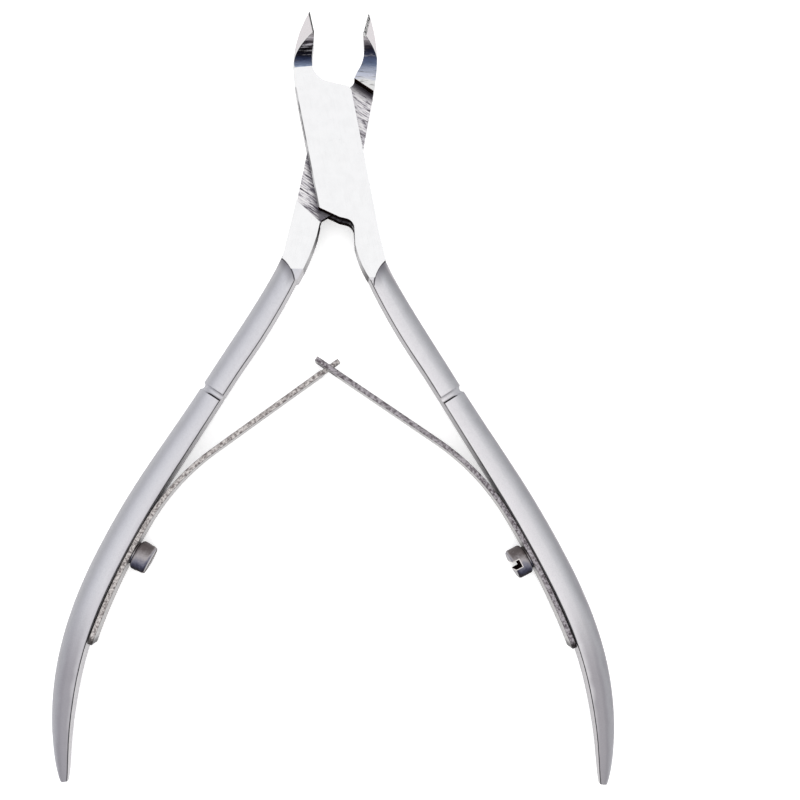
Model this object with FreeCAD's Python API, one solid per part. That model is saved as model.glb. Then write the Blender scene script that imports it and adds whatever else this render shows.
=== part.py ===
"""Cuticle nipper with a slotted box joint, two bowed handles and a pair of interlocked leaf springs.

Frame: the tool lies flat, +Z out of its front face, +Y towards the jaw tips, origin on the pivot
axis at the back face. Millimetres and degrees. Each lever is drawn in its shut position, as a left
jaw on a right handle, and is then turned about the pivot to the open position it rests in.
"""
import FreeCAD
import Part
import math
import os

from FreeCAD import Vector

# Overall
open_half_angle = 11.5          # each lever rests this far from its shut position
body_thickness = 4.2            # joint box, jaw roots and shoulders

# Box joint
box_jaw_side = 3.85             # pivot to the box side below the jaw
box_handle_side = 3.62          # pivot to the box side above the handle
tongue_handle_side = 3.88       # pivot to the tongue lever's side above the handle
cheek_thickness = 1.5           # each wall of the slot in the box lever
tongue_play = 0.05              # gap on each face of the tongue
slot_end_rise = 40.7            # slope of the slot's upper end
slot_tail_rise = 58.6           # slope of the slot's lower end
slot_side_height = 7.1          # where the upper end meets the jaw side
slot_tail_height = -7.6         # where the lower end meets the handle side
box_tail_height = -7.15         # lower end of the box on the jaw side
box_tail = [(-1.24, -9.04), (-0.40, -9.42)]     # end of the box above the crotch
box_crotch = [(0.22, -9.95), (0.45, -10.8)]     # round corner: a point on it and its end
box_leg_top = (0.12, -13.1)
box_leg = [(0.42, -15.6), (1.28, -18.3)]        # hollow inner side down to the handle
box_root = (1.72, -18.5)                        # lowest corner of the polished part
box_root_scallop = [(2.62, -16.95), (3.78, -16.0)]
box_shoulder_height = -12.0
box_jaw_corner = [(3.44, 7.95), (2.75, 8.43)]   # upper corner of the box on the handle side
box_throat_start = (0.8, 9.32)
box_throat = [(-0.45, 10.27), (-0.98, 11.6)]    # the mouth's round bottom
box_throat_side = [(-0.74, 13.3), (-0.28, 14.8)]
tongue_side = 3.6                               # the tongue inside the slot, on the jaw side
tongue_side_top = -0.5
tongue_side_end = -6.2
tongue_crotch = [(0.0, -9.4), (0.1, -10.05), (0.12, -11.9)]
tongue_leg = [(0.5, -14.6), (1.42, -18.2)]
tongue_root = (1.85, -18.5)
tongue_root_scallop = [(2.75, -16.95), (4.1, -15.9)]
tongue_shoulder_height = -9.0
tongue_jaw_corner = 5.9
tongue_throat_start = (0.17, 9.13)
tongue_throat = [(-0.2, 9.45), (-0.43, 10.06)]
tongue_throat_top = (-0.72, 11.3)
tongue_throat_side = [(-1.02, 13.1), (-0.78, 14.9)]
jaw_step = [(8.0, 13.38), (-8.0, 7.08)]         # where the tongue's recess ends under the jaw
shoulder_step = [(-8.0, -14.87), (8.0, -5.32)]  # and above the handle
pin_diameter = 3.0
pin_running_gap = 0.03          # radial, in the tongue only

# Jaws
tip_reach = 20.2                # pivot to the jaw tips
heel_reach = 16.8               # pivot to the heel of the cutting edge
meeting_offset = 0.3            # the tips meet this far to the right of the centre line
jaw_curve_start = 9.0           # where the outer side starts to curve in
tongue_jaw_side = 3.35          # pivot to the side of the tongue lever's jaw
tip_height = 2.1                # cutting edge above the back face, at the tip
heel_height = 3.5               # and at the heel
back_taper_start = 9.3          # where the back face starts to rise to the tip
tip_web = 0.25                  # metal left behind the tip
box_hollow_start = 11.77        # lower edge of the hollow-ground face
tongue_hollow_start = 10.9
hollow_radius = 9.0             # grinding wheel
wheel_width = 24.0
hollow_skew = -5.5              # the wheel's turn from square
box_ridge_end = (-3.15, 13.3)   # outer end of the ridge between the hollow face and the flat facet
tongue_ridge_end = (-3.08, 13.0)
hone_width = 0.18               # bevel along the cutting edge
hone_depth = 0.25
relief_slope = 0.15             # undercut of the blade's inner side

# Handles: a short neck that curves out, a straight run, then two arcs that curve back in
spine_start_height = -19.25
box_spine_start = 2.82          # from the centre line, at that height
tongue_spine_start = 3.35
handle_splay = 21.5             # angle from -Y when shut, on the straight run
neck_end = 8.0                  # distance along the spine
neck_radius = 115.0
straight_end = 31.8
bow_end = 50.0
box_upper_bow_radius = 145.0
tongue_upper_bow_radius = 110.0
lower_bow_radius = 49.0
flat_share = 0.45               # part of the handle's width that stays flat at front and back
inner_corner = 0.22             # rounding of the handle's inner corners
corner_share = 0.2              # and its most, as a share of the depth

# Handle sections: distance along the spine, inner half width, outer half width, depth
handle_sections = [
    (-4.0, 1.25, 1.85, 4.00),
    (-1.0, 1.56, 1.72, 4.02),
    (3.0, 1.68, 1.74, 4.00),
    (8.0, 1.76, 1.76, 3.95),
    (17.2, 1.70, 1.72, 3.98),
    (26.0, 1.80, 1.82, 4.06),
    (34.0, 1.88, 1.92, 4.12),
    (42.0, 1.92, 1.96, 4.12),
    (50.0, 1.88, 1.92, 3.92),
    (57.0, 1.78, 1.80, 3.50),
    (63.0, 1.62, 1.66, 3.04),
    (68.0, 1.38, 1.44, 2.58),
    (72.0, 1.10, 1.16, 2.14),
    (75.0, 0.78, 0.84, 1.70),
    (76.4, 0.50, 0.56, 1.30),
]
groove_place = 17.6             # decorative groove across the handle, along the spine
groove_radius = 0.55
groove_depth = 0.36

# Leaf springs: a tail that follows the handle's bow, one bend and a straight arm
leaf_width = 3.4
leaf_thickness = 0.68
leaf_gap = 0.12                 # air between a leaf's tail and the handle
leaf_tail_contact = 56.5        # along the spine: the tail's arc follows the face at these places
leaf_middle_contact = 46.0
leaf_top_contact = 36.0
bend_radius = 33.0
meeting_height = -29.5          # where the leaves cross
meeting_side = -0.7
box_arm_slope = 33.7            # of each leaf at the crossing, above level
tongue_arm_slope = 36.2
tongue_width = 1.3
tongue_shoulder = 1.15          # before the crossing
tongue_length = 1.7             # past the crossing
window_width = 1.7
window_before = 1.5             # slot in the other leaf, before the crossing
window_after = 1.7
window_end_wall = 0.45

# Spring screws
screw_place = 13.8              # centre of the screw from the tail end of the leaf
screw_shank_diameter = 2.0
screw_hole_play = 0.15          # radial, in the leaf
screw_engagement = 2.1          # shank inside the handle
screw_head_diameter = 4.2
screw_head_height = 2.55
screw_head_rounding = 0.35
screw_seat_gap = 0.01           # under the head's rim, where the leaf curves up to it
screw_slot_width = 1.05
screw_slot_depth = 1.0
box_screw_turn = 0.0            # of the slot, from the tool's depth
tongue_screw_turn = 80.0

mid_height = body_thickness / 2
slot_floor = cheek_thickness
slot_roof = body_thickness - cheek_thickness
overrun = 1.0                   # how far cutting tools reach past what they cut
blade_room = 5.0                # the same, around the blades
slot_reach = 9.0                # and to each side of the centre line, for the slot


class Outline:
    """A closed flat outline, drawn edge by edge at height zero."""

    def __init__(self, x, y):
        self.start = Vector(x, y, 0)
        self.here = self.start
        self.edges = []

    def line_to(self, x, y):
        there = Vector(x, y, 0)
        self.edges.append(Part.LineSegment(self.here, there).toShape())
        self.here = there

    def lines_to(self, points):
        for x, y in points:
            self.line_to(x, y)

    def arc_to(self, via, end):
        there = Vector(*end, 0)
        self.edges.append(Part.Arc(self.here, Vector(*via, 0), there).toShape())
        self.here = there

    def solid(self, low, high):
        """Close the outline and raise it from one height to another."""
        if (self.here - self.start).Length > 1e-6:
            self.line_to(self.start.x, self.start.y)
        face = Part.Face(Part.Wire(self.edges))
        face.translate(Vector(0, 0, low))
        return face.extrude(Vector(0, 0, high - low))


def polygon_solid(points, low, high):
    path = Outline(*points[0])
    path.lines_to(points[1:])
    return path.solid(low, high)


def half_space(point, normal, size=60.0):
    """Everything beyond a plane through the point, on the normal's side."""
    block = Part.makeBox(size, size, size, Vector(-size / 2, -size / 2, 0))
    block.Placement = FreeCAD.Placement(point, FreeCAD.Rotation(Vector(0, 0, 1), normal))
    return block


def turned(shape, angle):
    """A copy turned about the pivot axis."""
    copy = shape.copy()
    copy.rotate(Vector(0, 0, 0), Vector(0, 0, 1), angle)
    return copy


def mirrored(shape):
    return shape.mirror(Vector(0, 0, 0), Vector(1, 0, 0))


# ---- jaws

class Jaw:
    """One jaw, shut, drawn as a left jaw. Its tip and heel may lie off the centre line."""

    def __init__(self, side, offset, ridge_end, hollow_start):
        self.side = side
        self.tip = Vector(offset, tip_reach, tip_height)
        self.heel = Vector(offset * heel_reach / tip_reach, heel_reach, heel_height)
        self.edge = self.tip - self.heel
        self.ridge_end = ridge_end
        self.hollow_start = hollow_start

    def draw_outer_side(self, path):
        """From the tip down to the side of the jaw, tangent to that side."""
        rise = tip_reach - jaw_curve_start
        width = self.side + self.tip.x
        radius = (rise ** 2 + width ** 2) / (2 * width)
        middle_x = radius - self.side - math.sqrt(radius ** 2 - (rise / 2) ** 2)
        path.arc_to((middle_x, jaw_curve_start + rise / 2), (-self.side, jaw_curve_start))

    def wheel_axis(self):
        """A point on the axis of the wheel that grinds the hollow face, and its direction.

        The wheel meets the front face at the hollow's lower edge, and the heel.
        """
        chord = math.hypot(heel_reach - self.hollow_start, heel_height - body_thickness)
        stand_off = math.sqrt(hollow_radius ** 2 - (chord / 2) ** 2)
        lean = (body_thickness - heel_height) / chord
        centre_y = (self.hollow_start + heel_reach) / 2 + stand_off * lean
        centre_z = (body_thickness + heel_height) / 2 + stand_off * math.sqrt(1 - lean ** 2)
        skew = math.radians(hollow_skew)
        return Vector(0, centre_y, centre_z), Vector(math.cos(skew), math.sin(skew), 0)

    def wheel(self):
        centre, along = self.wheel_axis()
        half = wheel_width / 2
        return Part.makeCylinder(hollow_radius, wheel_width, centre - along * half, along)

    def hollow_point(self, x, y):
        """Point of the hollow face at a place in the plan."""
        centre, along = self.wheel_axis()
        off_axis = (y - centre.y) * along.x - (x - centre.x) * along.y
        return Vector(x, y, centre.z - math.sqrt(hollow_radius ** 2 - off_axis ** 2))

    def cut_along_edge(self, point, other):
        """Half space in front of the plane through the cutting edge and another point."""
        normal = self.edge.cross(other - point)
        if normal.z < 0:
            normal = normal * -1
        return half_space(point, normal)

    def cutters(self):
        """Back taper, hollow face, flat front facet, undercut inner side and honed bevel."""
        taper_rise = (tip_height - tip_web) / (tip_reach - back_taper_start)
        taper = half_space(Vector(0, back_taper_start, 0), Vector(0, taper_rise, -1))
        facet = self.cut_along_edge(self.heel, self.hollow_point(*self.ridge_end))
        far = tip_reach + blade_room
        near = (-blade_room, heel_reach), (blade_room, heel_reach)
        corners = [*near, (blade_room, far), (-blade_room, far)]
        blade = polygon_solid(corners, -overrun, body_thickness + overrun)
        inner_normal = self.edge.cross(Vector(relief_slope, 0, 1)) * -1
        if inner_normal.x < 0:
            inner_normal = inner_normal * -1
        undercut = half_space(self.heel, inner_normal).common(blade)
        hone_low = self.heel - Vector(0, 0, hone_depth)
        hone = self.cut_along_edge(hone_low, self.heel - Vector(hone_width, 0, 0)).common(blade)
        return [taper, facet, self.wheel(), undercut, hone]


box_jaw = Jaw(box_jaw_side, meeting_offset, box_ridge_end, box_hollow_start)
tongue_jaw = Jaw(tongue_jaw_side, -meeting_offset, tongue_ridge_end, tongue_hollow_start)


# ---- handles

def heading(angle):
    """Unit vector that leaves -Y by this angle towards +X."""
    turn = math.radians(angle)
    return Vector(math.sin(turn), -math.cos(turn), 0)


def outward(angle):
    """Unit vector from the inner to the outer side of a handle that heads this way."""
    turn = math.radians(angle)
    return Vector(math.cos(turn), math.sin(turn), 0)


def arc_step(radius, start_angle, turn):
    """Travel along an arc whose heading falls from start_angle by turn."""
    return (outward(start_angle - turn) - outward(start_angle)) * radius


def quarter_curve(start, corner, end):
    """A quarter ellipse as one cubic curve, tangent to start-corner and corner-end."""
    pull = 0.5523
    curve = Part.BezierCurve()
    curve.setPoles([start, start + (corner - start) * pull, end + (corner - end) * pull, end])
    return curve.toShape()


def section_at(distance):
    """Inner half width, outer half width and depth, read between the named sections."""
    for near, far in zip(handle_sections, handle_sections[1:]):
        if distance <= far[0]:
            share = (distance - near[0]) / (far[0] - near[0])
            return [a + (b - a) * share for a, b in zip(near[1:], far[1:])]
    return list(handle_sections[-1][1:])


class Handle:
    """One bowed handle of D-shaped section, shut, drawn as a right handle."""

    def __init__(self, start, upper_bow_radius):
        self.start = Vector(start, spine_start_height, 0)
        self.upper_bow_radius = upper_bow_radius

    def spine(self, distance):
        """Point and heading angle at a distance along the spine."""
        if distance < neck_end:
            turn = math.degrees((neck_end - distance) / neck_radius)
            low = self.start + heading(handle_splay) * neck_end
            return low - arc_step(neck_radius, handle_splay, turn), handle_splay - turn
        point = self.start + heading(handle_splay) * min(distance, straight_end)
        angle = handle_splay
        runs = [(straight_end, bow_end, self.upper_bow_radius), (bow_end, math.inf, lower_bow_radius)]
        for first, last, radius in runs:
            if distance > first:
                turn = math.degrees((min(distance, last) - first) / radius)
                point = point + arc_step(radius, angle, turn)
                angle = angle - turn
        return point, angle

    def inner_face_point(self, distance):
        """Point on the flat inner face."""
        point, angle = self.spine(distance)
        return point - outward(angle) * section_at(distance)[0]

    def place(self, distance):
        """A function from (outwards, up from mid height) to a point of the section's plane."""
        centre, angle = self.spine(distance)
        return lambda u, z: centre + outward(angle) * u + Vector(0, 0, mid_height + z)

    def section(self, distance, inner, outer, depth):
        """The section's wire: flat inner face, flat front and back, round outer side."""
        at = self.place(distance)
        corner = min(inner_corner, depth * corner_share)
        half = depth / 2
        flat_end = -inner + flat_share * (inner + outer)
        return Part.Wire([
            Part.LineSegment(at(-inner, corner - half), at(-inner, half - corner)).toShape(),
            quarter_curve(at(-inner, half - corner), at(-inner, half), at(corner - inner, half)),
            Part.LineSegment(at(corner - inner, half), at(flat_end, half)).toShape(),
            quarter_curve(at(flat_end, half), at(outer, half), at(outer, 0)),
            quarter_curve(at(outer, 0), at(outer, -half), at(flat_end, -half)),
            Part.LineSegment(at(flat_end, -half), at(corner - inner, -half)).toShape(),
            quarter_curve(at(corner - inner, -half), at(-inner, -half), at(-inner, corner - half)),
        ])

    def body(self):
        wires = [self.section(*sizes) for sizes in handle_sections]
        return Part.makeLoft(wires, True, False)

    def groove_cutter(self):
        """A round-bottomed ring that crosses the front, outer side and back."""
        inner, outer, depth = section_at(groove_place)
        at = self.place(groove_place)
        lift = groove_radius - groove_depth
        half = depth / 2 + lift
        far = outer + lift
        flat_end = -inner + flat_share * (inner + outer)
        start = -inner - overrun
        path = Part.Wire([
            Part.LineSegment(at(start, half), at(flat_end, half)).toShape(),
            quarter_curve(at(flat_end, half), at(far, half), at(far, 0)),
            quarter_curve(at(far, 0), at(far, -half), at(flat_end, -half)),
            Part.LineSegment(at(flat_end, -half), at(start, -half)).toShape(),
        ])
        across = outward(self.spine(groove_place)[1])
        profile = Part.Wire([Part.makeCircle(groove_radius, at(start, half), across)])
        return path.makePipeShell([profile], True, True)


box_handle = Handle(box_spine_start, box_upper_bow_radius)
tongue_handle = Handle(tongue_spine_start, tongue_upper_bow_radius)


# ---- levers, shut position

def box_lever_plan():
    path = Outline(box_jaw.tip.x, tip_reach)
    box_jaw.draw_outer_side(path)
    path.line_to(-box_jaw_side, box_tail_height)
    path.lines_to(box_tail)
    path.arc_to(*box_crotch)
    path.line_to(*box_leg_top)
    path.arc_to(*box_leg)
    path.line_to(*box_root)
    path.arc_to(*box_root_scallop)
    path.line_to(box_handle_side, box_shoulder_height)
    path.line_to(box_handle_side, slot_side_height)
    path.arc_to(*box_jaw_corner)
    path.line_to(*box_throat_start)
    path.arc_to(*box_throat)
    path.arc_to(*box_throat_side)
    path.line_to(box_jaw.heel.x, heel_reach)
    return path


def slot_cutter():
    """The room the tongue turns in, open on both sides of the box."""
    reach = slot_reach
    end_slope = math.tan(math.radians(slot_end_rise))
    tail_slope = math.tan(math.radians(slot_tail_rise))
    top_left = slot_side_height - (reach - box_jaw_side) * end_slope
    top_right = slot_side_height + (reach + box_jaw_side) * end_slope
    low_right = slot_tail_height + (reach - box_handle_side) * tail_slope
    low_left = slot_tail_height - (reach + box_handle_side) * tail_slope
    corners = [(-reach, top_left), (-reach, low_left), (reach, low_right), (reach, top_right)]
    return polygon_solid(corners, slot_floor, slot_roof)


def finish_lever(plate, jaw, handle):
    """Grind the jaw, add the handle and cut the groove."""
    for tool in jaw.cutters():
        plate = plate.cut(tool)
    lever = plate.fuse(handle.body())
    return lever.cut(handle.groove_cutter())


def pin_hole(radius):
    height = body_thickness + 2 * overrun
    return Part.makeCylinder(radius, height, Vector(0, 0, -overrun), Vector(0, 0, 1))


def box_lever_shut():
    plate = box_lever_plan().solid(0, body_thickness)
    lever = finish_lever(plate, box_jaw, box_handle)
    lever = lever.cut(slot_cutter())
    return lever.cut(pin_hole(pin_diameter / 2))


def tongue_lever_plan():
    path = Outline(tongue_jaw.tip.x, tip_reach)
    tongue_jaw.draw_outer_side(path)
    path.line_to(-tongue_side, tongue_side_top)
    path.line_to(-tongue_side, tongue_side_end)
    path.lines_to(tongue_crotch)
    path.arc_to(*tongue_leg)
    path.line_to(*tongue_root)
    path.arc_to(*tongue_root_scallop)
    path.line_to(tongue_handle_side, tongue_shoulder_height)
    path.line_to(tongue_handle_side, tongue_jaw_corner)
    path.line_to(*tongue_throat_start)
    path.arc_to(*tongue_throat)
    path.line_to(*tongue_throat_top)
    path.arc_to(*tongue_throat_side)
    path.line_to(tongue_jaw.heel.x, heel_reach)
    return path


def tongue_pocket(low, high):
    """Clears one face of the tongue between the jaw step and the shoulder step."""
    return polygon_solid(jaw_step + shoulder_step, low, high)


def tongue_lever_shut():
    plate = tongue_lever_plan().solid(0, body_thickness)
    lever = finish_lever(plate, tongue_jaw, tongue_handle)
    lever = lever.cut(tongue_pocket(slot_roof - tongue_play, body_thickness + overrun))
    lever = lever.cut(tongue_pocket(-overrun, slot_floor + tongue_play))
    return lever.cut(pin_hole(pin_diameter / 2 + pin_running_gap))


# ---- leaf springs and screws, rest position, drawn on the right side

def at_rest(point):
    """A shut-position point of a right handle, in the open rest position."""
    return FreeCAD.Rotation(Vector(0, 0, 1), open_half_angle).multVec(point)


def leaf_heading(angle):
    """Unit vector that leaves +Y by this angle towards -X."""
    turn = math.radians(angle)
    return Vector(-math.sin(turn), math.cos(turn), 0)


def circle_through(first, second, third):
    """Centre of the circle through three points of the plan."""
    side = second - first
    other = third - first
    double_area = 2 * (side.x * other.y - side.y * other.x)
    x = (other.y * side.Length ** 2 - side.y * other.Length ** 2) / double_area
    y = (side.x * other.Length ** 2 - other.x * side.Length ** 2) / double_area
    return first + Vector(x, y, 0)


class Leaf:
    """One leaf spring, its screw and the screw's hole in the handle that carries them.

    The tail follows the hollow of the handle's inner face. The arm goes straight through the
    crossing. One bend joins them.
    """

    def __init__(self, handle, crossing_side, arm_slope, screw_turn):
        self.handle = handle
        self.screw_turn = screw_turn
        self.crossing = Vector(crossing_side, meeting_height, 0)
        self.arm_angle = 90.0 - arm_slope
        places = (leaf_tail_contact, leaf_middle_contact, leaf_top_contact)
        low, middle, high = [at_rest(handle.inner_face_point(place)) for place in places]
        self.tail_centre = circle_through(low, middle, high)
        self.tail_radius = (low - self.tail_centre).Length - leaf_gap - leaf_thickness / 2
        self.tail_start = (low - self.tail_centre).normalize()
        self.screw_side = self.tail_side(screw_place)
        self.inward = self.screw_side * -1

    def tail_side(self, distance):
        """Unit vector from the tail's centre to its point at a distance from the tail end."""
        turn = math.degrees(distance / self.tail_radius)
        return FreeCAD.Rotation(Vector(0, 0, 1), turn).multVec(self.tail_start)

    def bend_centre(self):
        """Centre of the bend, which touches the tail's arc from inside and the arm's line."""
        arm = leaf_heading(self.arm_angle)
        start = self.crossing + leaf_heading(self.arm_angle + 90) * bend_radius
        gap = start - self.tail_centre
        along = gap.dot(arm)
        apart = self.tail_radius - bend_radius
        return start - arm * (along + math.sqrt(along ** 2 - gap.dot(gap) + apart ** 2))

    def bend(self):
        """Start and end of the bend."""
        centre = self.bend_centre()
        first = (centre - self.tail_centre).normalize()
        last = leaf_heading(self.arm_angle - 90)
        return centre + first * bend_radius, centre + last * bend_radius

    def side(self, offset, end_extra):
        """One face of the strip: a point on each arc's start, middle and end, then the far end."""
        centre = self.bend_centre()
        first = (centre - self.tail_centre).normalize()
        last = leaf_heading(self.arm_angle - 90)
        tail = [self.tail_start, (self.tail_start + first).normalize(), first]
        curve = [(first + last).normalize(), last]
        points = [self.tail_centre + spoke * (self.tail_radius - offset) for spoke in tail]
        points += [centre + spoke * (bend_radius - offset) for spoke in curve]
        arm = leaf_heading(self.arm_angle)
        return points + [self.crossing + last * -offset + arm * end_extra]

    def strip(self, end_extra):
        """The bent strip before its end is cut."""
        inner = self.side(leaf_thickness / 2, end_extra)
        outer = self.side(-leaf_thickness / 2, end_extra)
        edges = []
        for tail, tail_middle, first, middle, last, end in (inner, outer):
            edges.append(Part.Arc(tail, tail_middle, first).toShape())
            edges.append(Part.Arc(first, middle, last).toShape())
            edges.append(Part.LineSegment(last, end).toShape())
        edges.append(Part.LineSegment(inner[0], outer[0]).toShape())
        edges.append(Part.LineSegment(inner[-1], outer[-1]).toShape())
        face = Part.Face(Part.Wire(Part.__sortEdges__(edges)))
        face.translate(Vector(0, 0, mid_height - leaf_width / 2))
        return face.extrude(Vector(0, 0, leaf_width))

    def crossing_block(self, before, after, low, high):
        """A block across the leaf at the crossing, in the leaf's own direction."""
        half = 3 * leaf_thickness
        block = Part.makeBox(2 * half, before + after, high - low, Vector(-half, -before, low))
        turn = FreeCAD.Rotation(Vector(0, 0, 1), self.arm_angle)
        block.Placement = FreeCAD.Placement(self.crossing, turn)
        return block

    def screw_point(self, depth):
        """Point on the screw's axis: this far from the leaf's middle into the handle."""
        reach = self.tail_radius + depth
        return self.tail_centre + self.screw_side * reach + Vector(0, 0, mid_height)

    def drilled(self, strip):
        """The strip with its clearance hole for the screw."""
        radius = screw_shank_diameter / 2 + screw_hole_play
        start = self.screw_point(-2 * leaf_thickness)
        return strip.cut(Part.makeCylinder(radius, 4 * leaf_thickness, start, self.inward * -1))

    def windowed(self):
        """A leaf whose end has a window that takes the other leaf's tongue."""
        low = mid_height - window_width / 2
        window = self.crossing_block(window_before, window_after, low, low + window_width)
        return self.drilled(self.strip(window_after + window_end_wall).cut(window))

    def tongued(self):
        """A leaf whose end is narrowed to a tongue."""
        strip = self.strip(tongue_length)
        past = tongue_length + overrun
        lower = mid_height - tongue_width / 2
        upper = mid_height + tongue_width / 2
        strip = strip.cut(self.crossing_block(tongue_shoulder, past, -overrun, lower))
        strip = strip.cut(self.crossing_block(tongue_shoulder, past, upper, body_thickness + overrun))
        return self.drilled(strip)

    def handle_hollow(self):
        """Air between the tail and the handle's inner face, at the screw."""
        face_point = at_rest(self.handle.inner_face_point(leaf_tail_contact - screw_place))
        return (face_point - self.tail_centre).dot(self.screw_side) - self.tail_radius - leaf_thickness / 2

    def screw_depth(self):
        """From the leaf's middle line to the bottom of the threaded hole."""
        return leaf_thickness / 2 + self.handle_hollow() + screw_engagement

    def seat_rise(self):
        """How far a flat head stands off the hollow side of the curved tail."""
        radius = screw_head_diameter / 2
        return self.tail_radius - math.sqrt(self.tail_radius ** 2 - radius ** 2) + screw_seat_gap

    def screw_hole(self):
        """The tapped hole in the handle, the same size as the shank."""
        radius = screw_shank_diameter / 2
        return Part.makeCylinder(radius, self.screw_depth(), self.screw_point(0), self.inward * -1)

    def screw(self):
        """Cheese-head screw: a shank through the leaf into the handle, and a slotted head."""
        head_base = -leaf_thickness / 2 - self.seat_rise()
        into = self.inward * -1
        radius = screw_shank_diameter / 2
        shank_length = self.screw_depth() - head_base
        shank = Part.makeCylinder(radius, shank_length, self.screw_point(head_base), into)
        head = Part.makeCylinder(screw_head_diameter / 2, screw_head_height, self.screw_point(head_base),
                                 self.inward)
        rims = [edge for edge in head.Edges if edge.Closed]
        head = head.makeFillet(screw_head_rounding, rims)
        corner = Vector(-screw_slot_depth, -screw_slot_width / 2, -body_thickness)
        slot = Part.makeBox(2 * screw_slot_depth, screw_slot_width, 2 * body_thickness, corner)
        turn = FreeCAD.Rotation(into, self.screw_turn).multiply(FreeCAD.Rotation(Vector(1, 0, 0), into))
        slot.Placement = FreeCAD.Placement(self.screw_point(head_base - screw_head_height), turn)
        return head.cut(slot).fuse(shank).removeSplitter()


box_leaf = Leaf(box_handle, meeting_side, box_arm_slope, box_screw_turn)
tongue_leaf = Leaf(tongue_handle, -meeting_side, tongue_arm_slope, tongue_screw_turn)


def pivot_pin():
    return Part.makeCylinder(pin_diameter / 2, body_thickness)


def build():
    """Every piece by its node name, in the open rest position."""
    box_lever = turned(box_lever_shut(), open_half_angle).cut(box_leaf.screw_hole())
    tongue_lever = turned(tongue_lever_shut(), open_half_angle).cut(tongue_leaf.screw_hole())
    return {
        "box_lever": box_lever,
        "tongue_lever": mirrored(tongue_lever),
        "pivot_pin": pivot_pin(),
        "windowed_leaf_spring": box_leaf.windowed(),
        "tongued_leaf_spring": mirrored(tongue_leaf.tongued()),
        "spring_screw_right": box_leaf.screw(),
        "spring_screw_left": mirrored(tongue_leaf.screw()),
    }


os.makedirs("parts", exist_ok=True)
for name, shape in build().items():
    solids = shape.Solids
    print(name, "solids", len(solids), "valid", shape.isValid(), "volume", round(shape.Volume, 2))
    Part.makeCompound(solids).exportStep(f"parts/{name}.step")
for leaf in (box_leaf, tongue_leaf):
    first, last = leaf.bend()
    print("leaf bend", round(first.x, 3), round(first.y, 3), "to", round(last.x, 3), round(last.y, 3))
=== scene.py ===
"""Looks of a cuticle nipper: polished box joint and jaws, satin handles, leaf springs and their screws.

Everything is in metres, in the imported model's frame: +Z out of the front face, +Y to the jaw tips,
origin on the pivot axis at the back face. Lengths named in a class are in millimetres.
"""
import logging
import math
from dataclasses import dataclass, field
from enum import Enum
from typing import Callable

import bmesh
import bpy
from mathutils import Matrix, Vector


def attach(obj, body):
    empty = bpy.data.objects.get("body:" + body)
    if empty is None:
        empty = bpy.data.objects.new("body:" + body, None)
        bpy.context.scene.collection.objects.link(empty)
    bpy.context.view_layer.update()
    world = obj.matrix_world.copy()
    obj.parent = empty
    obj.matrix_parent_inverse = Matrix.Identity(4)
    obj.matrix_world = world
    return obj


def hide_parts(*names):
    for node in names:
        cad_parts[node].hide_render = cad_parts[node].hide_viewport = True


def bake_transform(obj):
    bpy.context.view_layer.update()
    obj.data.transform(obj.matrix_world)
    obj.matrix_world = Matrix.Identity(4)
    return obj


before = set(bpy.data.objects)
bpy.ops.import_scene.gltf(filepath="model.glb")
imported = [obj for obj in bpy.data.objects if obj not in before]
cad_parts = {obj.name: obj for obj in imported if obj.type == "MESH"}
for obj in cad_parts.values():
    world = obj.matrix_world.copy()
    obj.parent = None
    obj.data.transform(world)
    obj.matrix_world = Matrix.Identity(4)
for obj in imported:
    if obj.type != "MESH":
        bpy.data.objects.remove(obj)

LOG = logging.getLogger("nipper")
MM = 0.001
OPEN_HALF_ANGLE = 11.5
MID_HEIGHT = 2.1
BOX_HALF_WIDTH = 3.85
TO_MM = (1000.0, 1000.0, 1000.0)


class Side(Enum):
    """Which half of the tool a piece belongs to, as the sign of its handle's x."""

    RIGHT = 1
    LEFT = -1


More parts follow.
